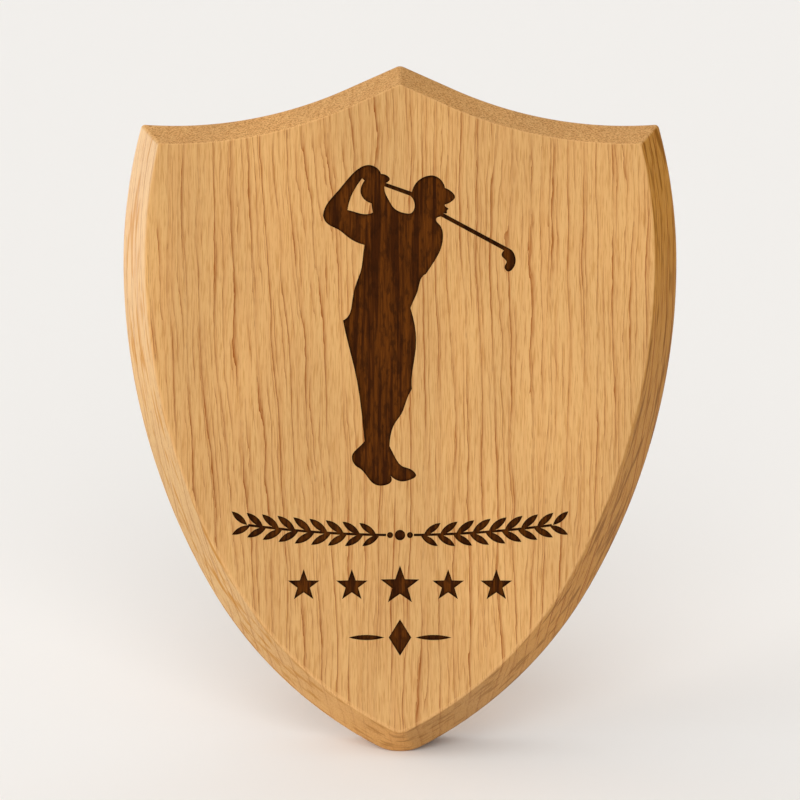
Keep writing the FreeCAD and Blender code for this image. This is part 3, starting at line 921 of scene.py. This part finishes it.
strut = make_from_solid("strut", "oak_strut", STRUT_EASE, strut_oak)
dress(strut, "strut_leg", "strut_oak", "strut")
for node, name, body in (
    ("hinge_base", "hinge_plate", "shield"),
    ("strut_channel", "strut_clasp", "strut_leg"),
    ("keyhole_hanger", "keyhole_plate", "shield"),
):
    piece = make_from_solid(node, name, BRASS_EASE, sheet_brass)
    dress(piece, body, "brass", node)


def make_screw(name, length, turn):
    """A countersunk wood screw with a slotted head, head up, its face at z = 0."""
    bpy.ops.object.select_all(action="DESELECT")
    bpy.ops.mesh.primitive_cone_add(
        vertices=48, radius1=SHANK_RADIUS, radius2=SCREW_HEAD_RADIUS, depth=SCREW_HEAD_DEPTH,
        location=(0, 0, -SCREW_HEAD_DEPTH / 2),
    )
    screw = bpy.context.object
    screw.name = name
    screw.data.materials.append(screw_brass)
    edit(screw)
    pick("faces", lambda f: f.normal.z < -0.99)
    shank = length - SCREW_HEAD_DEPTH - SCREW_POINT - PILOT_GAP
    bpy.ops.mesh.extrude_region_move(TRANSFORM_OT_translate={"value": (0, 0, -shank)})
    bpy.ops.mesh.extrude_region_move(TRANSFORM_OT_translate={"value": (0, 0, -SCREW_POINT)})
    bpy.ops.transform.resize(value=(0.2, 0.2, 1))
    pick("edges", lambda e: all(abs(v.co.z) < 0.001 for v in e.verts))
    bpy.ops.mesh.bevel(offset=0.2, segments=3)
    leave()
    bpy.ops.object.select_all(action="DESELECT")
    bpy.ops.mesh.primitive_cube_add(
        size=1, location=(0, 0, 0), scale=(SLOT_LENGTH, SLOT_WIDTH, 2 * SLOT_DEPTH),
    )
    slot = bpy.context.object
    slot.data.materials.append(screw_brass)
    edit(slot)

    def is_lower_long_edge(edge):
        first, second = (corner.co for corner in edge.verts)
        return first.z < 0 and second.z < 0 and abs(first.x - second.x) > 3

    pick("edges", is_lower_long_edge)
    bpy.ops.mesh.bevel(offset=0.1, segments=2)
    leave()
    cut_away(screw, slot)
    smooth(screw, 35)
    screw.data.transform(Matrix.Rotation(math.radians(turn), 4, "Z"))
    return screw


def drive(name, length, turn, x, up, out, body, node):
    """Sets a screw into the board's back or, for the strut, into the opened strut."""
    screw = make_screw(name, length, turn)
    place = Matrix.Translation((x, up, -THICKNESS - out)) @ facing_back
    if body == "strut_leg":
        place = opened @ place
    settle(screw, stand @ place)
    dress(screw, body, "screws", node)


for number, x, up, turn in ((1, -7, 15.5, 12), (2, 7, 15.5, 78), (3, -7, -18, 133), (4, 7, -18, 31)):
    drive("base_screw_%d" % number, 12, turn, x, PIN_HEIGHT + up, SHEET, "shield", "hinge_base_screws")
for number, up, turn in ((1, 18, 50), (2, -18, 110)):
    drive("hanger_screw_%d" % number, 11, turn, 0, HANGER_HEIGHT + up, 0, "shield", "hanger_screws")
for number, up, turn in ((1, -12, 22), (2, -33, 95)):
    drive("clasp_screw_%d" % number, 8, turn, 0, PIN_HEIGHT + up, CHANNEL_OUTSIDE, "strut_leg",
          "strut_channel_screws")


def make_rivet():
    """A rivet through the hinge's ears, with a domed head at each end."""
    bpy.ops.object.select_all(action="DESELECT")
    bpy.ops.mesh.primitive_cylinder_add(vertices=48, radius=RIVET_RADIUS, depth=2 * EAR_OUTSIDE)
    rivet = bpy.context.object
    rivet.name = "hinge_rivet"
    edit(rivet)
    widening = RIVET_HEAD_RADIUS / RIVET_RADIUS
    for side in (1, -1):
        pick("faces", lambda f: f.calc_center_median().z * side > EAR_OUTSIDE - 0.1)
        bpy.ops.mesh.extrude_region_move()
        bpy.ops.transform.resize(value=(widening, widening, 1))
        bpy.ops.mesh.extrude_region_move(
            TRANSFORM_OT_translate={"value": (0, 0, side * RIVET_HEAD_HEIGHT)},
        )
        pick("edges", lambda e: all(v.co.z * side > EAR_OUTSIDE + 1.0 for v in e.verts))
        bpy.ops.mesh.bevel(offset=RIVET_DOME, segments=6)
    leave()
    smooth(rivet, 40)
    rivet.data.materials.append(rivet_brass)
    settle(rivet, stand @ Matrix.Translation(pin) @ Matrix.Rotation(math.pi / 2, 4, "Y"))
    return rivet


dress(make_rivet(), "shield", "rivet", "hinge_pin")


# Floor, light and camera


def make_floor():
    bpy.ops.object.select_all(action="DESELECT")
    bpy.ops.mesh.primitive_circle_add(vertices=96, radius=30, fill_type="NGON", location=(0, 0, 0))
    floor = bpy.context.object
    floor.name = "floor"
    material, _, surface = new_material("pale_floor")
    surface.inputs["Base Color"].default_value = srgb(243, 240, 236)
    surface.inputs["Roughness"].default_value = 0.7
    surface.inputs["Specular IOR Level"].default_value = 0.1
    floor.data.materials.append(material)


make_floor()


def make_studio():
    """Soft light from the left, from above and from behind, and a broad key light in front."""
    world = bpy.data.worlds.new("studio")
    world.use_nodes = True
    tree = world.node_tree
    direction = tree.nodes.new("ShaderNodeTexCoord").outputs["Generated"]
    x, y, z = shade(tree, "ShaderNodeSeparateXYZ", None, Vector=direction).outputs
    from_left = spread(tree, x, -1.0, -0.6, LEFT_STRENGTH, 0.0)
    from_behind = spread(tree, y, 0.0, 0.8, 0.0, BEHIND_STRENGTH)
    from_above = spread(tree, z, 0.75, 1.0, 0.0, ABOVE_STRENGTH)
    lit = total(tree, from_left, from_behind, from_above)
    seen = shade(tree, "ShaderNodeLightPath").outputs["Is Camera Ray"]
    unseen = maths(tree, "SUBTRACT", 1.0, seen)
    strength = total(tree, product(tree, lit, unseen), product(tree, seen, BACKDROP_TONE))
    backdrop = tree.nodes["Background"]
    backdrop.inputs["Color"].default_value = (1.0, 1.0, 1.0, 1.0)
    tree.links.new(strength, backdrop.inputs["Strength"])
    bpy.context.scene.world = world

    bpy.ops.object.light_add(type="SUN", rotation=KEY_LIGHT.to_track_quat("Z", "Y").to_euler())
    key = bpy.context.object
    key.data.energy = KEY_STRENGTH
    key.data.angle = KEY_BREADTH
    key.visible_glossy = False


make_studio()


def place_camera():
    """A camera square to the board's face."""
    spot = stand @ Vector((0, CAMERA_HEIGHT, CAMERA_DISTANCE))
    bpy.ops.object.camera_add(location=spot, rotation=(math.pi / 2 - LEAN, 0, 0))
    camera = bpy.context.object
    camera.data.sensor_width = 36
    camera.data.lens = CAMERA_LENS
    camera.data.clip_start = 0.05
    camera.data.clip_end = 100
    bpy.context.scene.camera = camera
    bpy.context.scene.view_settings.view_transform = "Standard"


place_camera()
